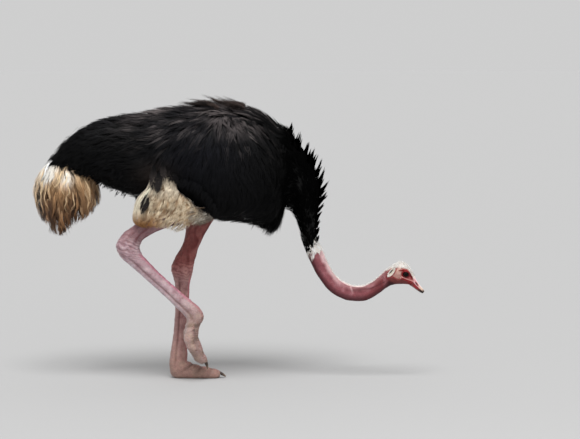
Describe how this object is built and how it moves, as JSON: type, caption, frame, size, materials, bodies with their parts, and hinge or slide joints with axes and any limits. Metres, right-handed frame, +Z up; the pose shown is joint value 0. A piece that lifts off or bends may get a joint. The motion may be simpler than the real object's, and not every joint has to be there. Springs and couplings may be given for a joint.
{
  "type": "ostrich",
  "caption": "Life-size still model of a male ostrich walking with its head lowered to feed, one foot lifted.",
  "frame": {"origin": "on the ground, under the middle of the bird's length and width", "axes": "+X forwards towards the bill, +Y to the bird's left, +Z up"},
  "size_m": [1.8781, 0.56, 1.364],
  "materials": {
    "black_plumage": "matte feathers with a faint cool sheen",
    "pale_plumes": "soft matte plumes",
    "tail_plumes": "soft matte plumes",
    "collar_down": "short pale down",
    "neck_skin": "matte wrinkled skin",
    "bill_horn": "satin horn",
    "eye": "wet gloss",
    "leg_skin": "matte scaly skin",
    "claw_horn": "satin dark horn"
  },
  "bodies": {
    "root": {"trunk": "black_plumage", "neck_base": "black_plumage", "wing_right": "black_plumage", "wing_left": "black_plumage", "wing_plumes_right": "pale_plumes", "wing_plumes_left": "pale_plumes", "tail_plumes": "tail_plumes", "neck_collar": "collar_down", "neck_bend": "neck_skin", "neck_upper": "neck_skin", "head": "neck_skin", "bill_upper": "bill_horn", "bill_lower": "bill_horn", "eye_right": "eye", "eye_left": "eye", "drumstick_right": "leg_skin", "drumstick_left": "leg_skin", "shank_right": "leg_skin", "shank_left": "leg_skin", "toe_3_right": "leg_skin", "toe_3_left": "leg_skin", "toe_4_right": "leg_skin", "toe_4_left": "leg_skin", "claw_right": "claw_horn", "claw_left": "claw_horn"}
  },
  "joints": []
}
